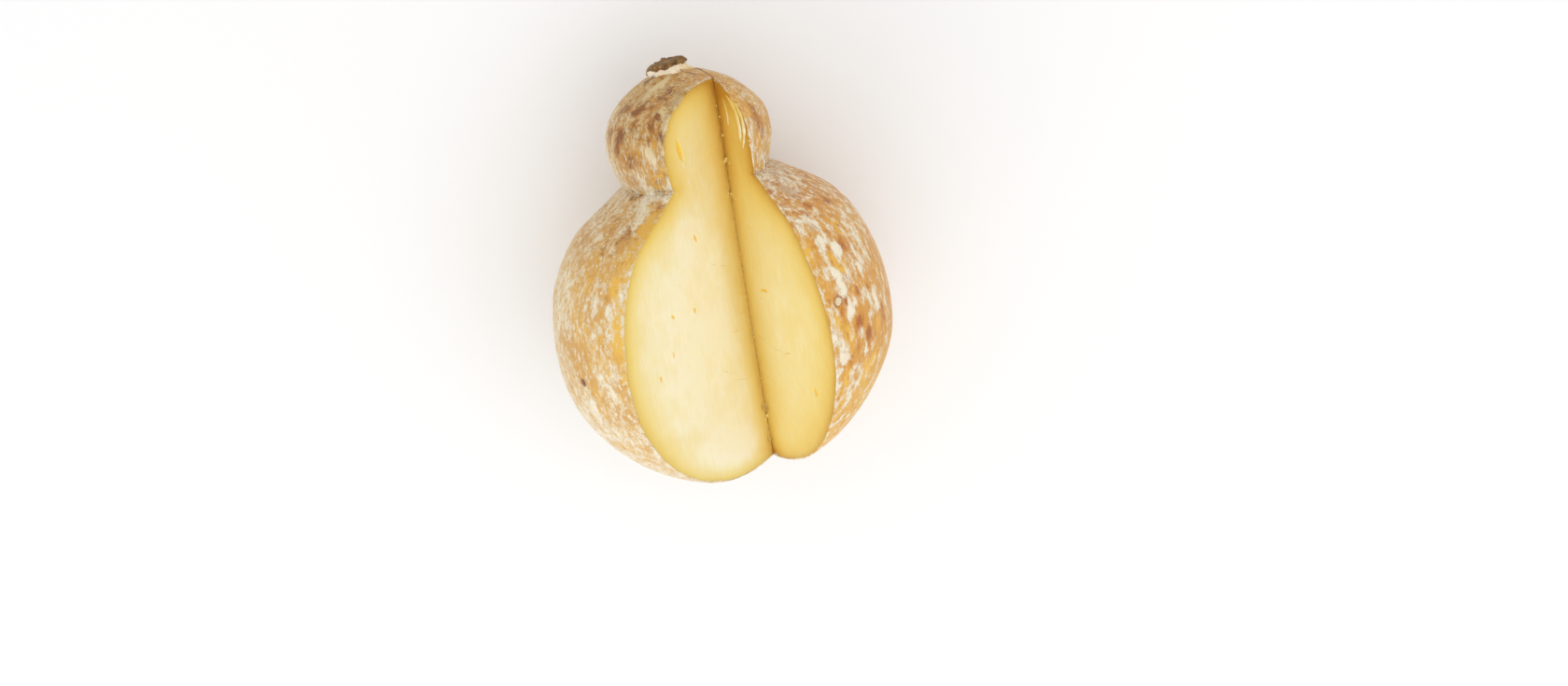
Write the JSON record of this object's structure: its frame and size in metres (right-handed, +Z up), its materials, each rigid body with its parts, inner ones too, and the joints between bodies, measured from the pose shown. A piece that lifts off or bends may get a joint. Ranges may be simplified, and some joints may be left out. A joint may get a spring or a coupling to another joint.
{
  "type": "provolone cheese",
  "caption": "Gourd-shaped stretched-curd cheese with a round belly, a small head and a knob, lying on its back with a long wedge cut out of it.",
  "frame": {"origin": "bottom centre of the bounding box, on the surface that the cheese lies on", "axes": "+Y along the cheese from tail to head, +Z up, out of the cut, +X to the right with the head pointing away"},
  "size_m": [0.1494, 0.191, 0.1342],
  "materials": {
    "rind": "dry golden-tan rind under a whitish haze, with brown patches and streaks along the neck",
    "paste": "smooth, slightly waxy cut cheese, cream in the middle and golden towards the rind",
    "dry_cap": "dry, wrinkled dark brown skin on top of the knob"
  },
  "bodies": {
    "root": {"cheese": "rind"}
  },
  "joints": []
}
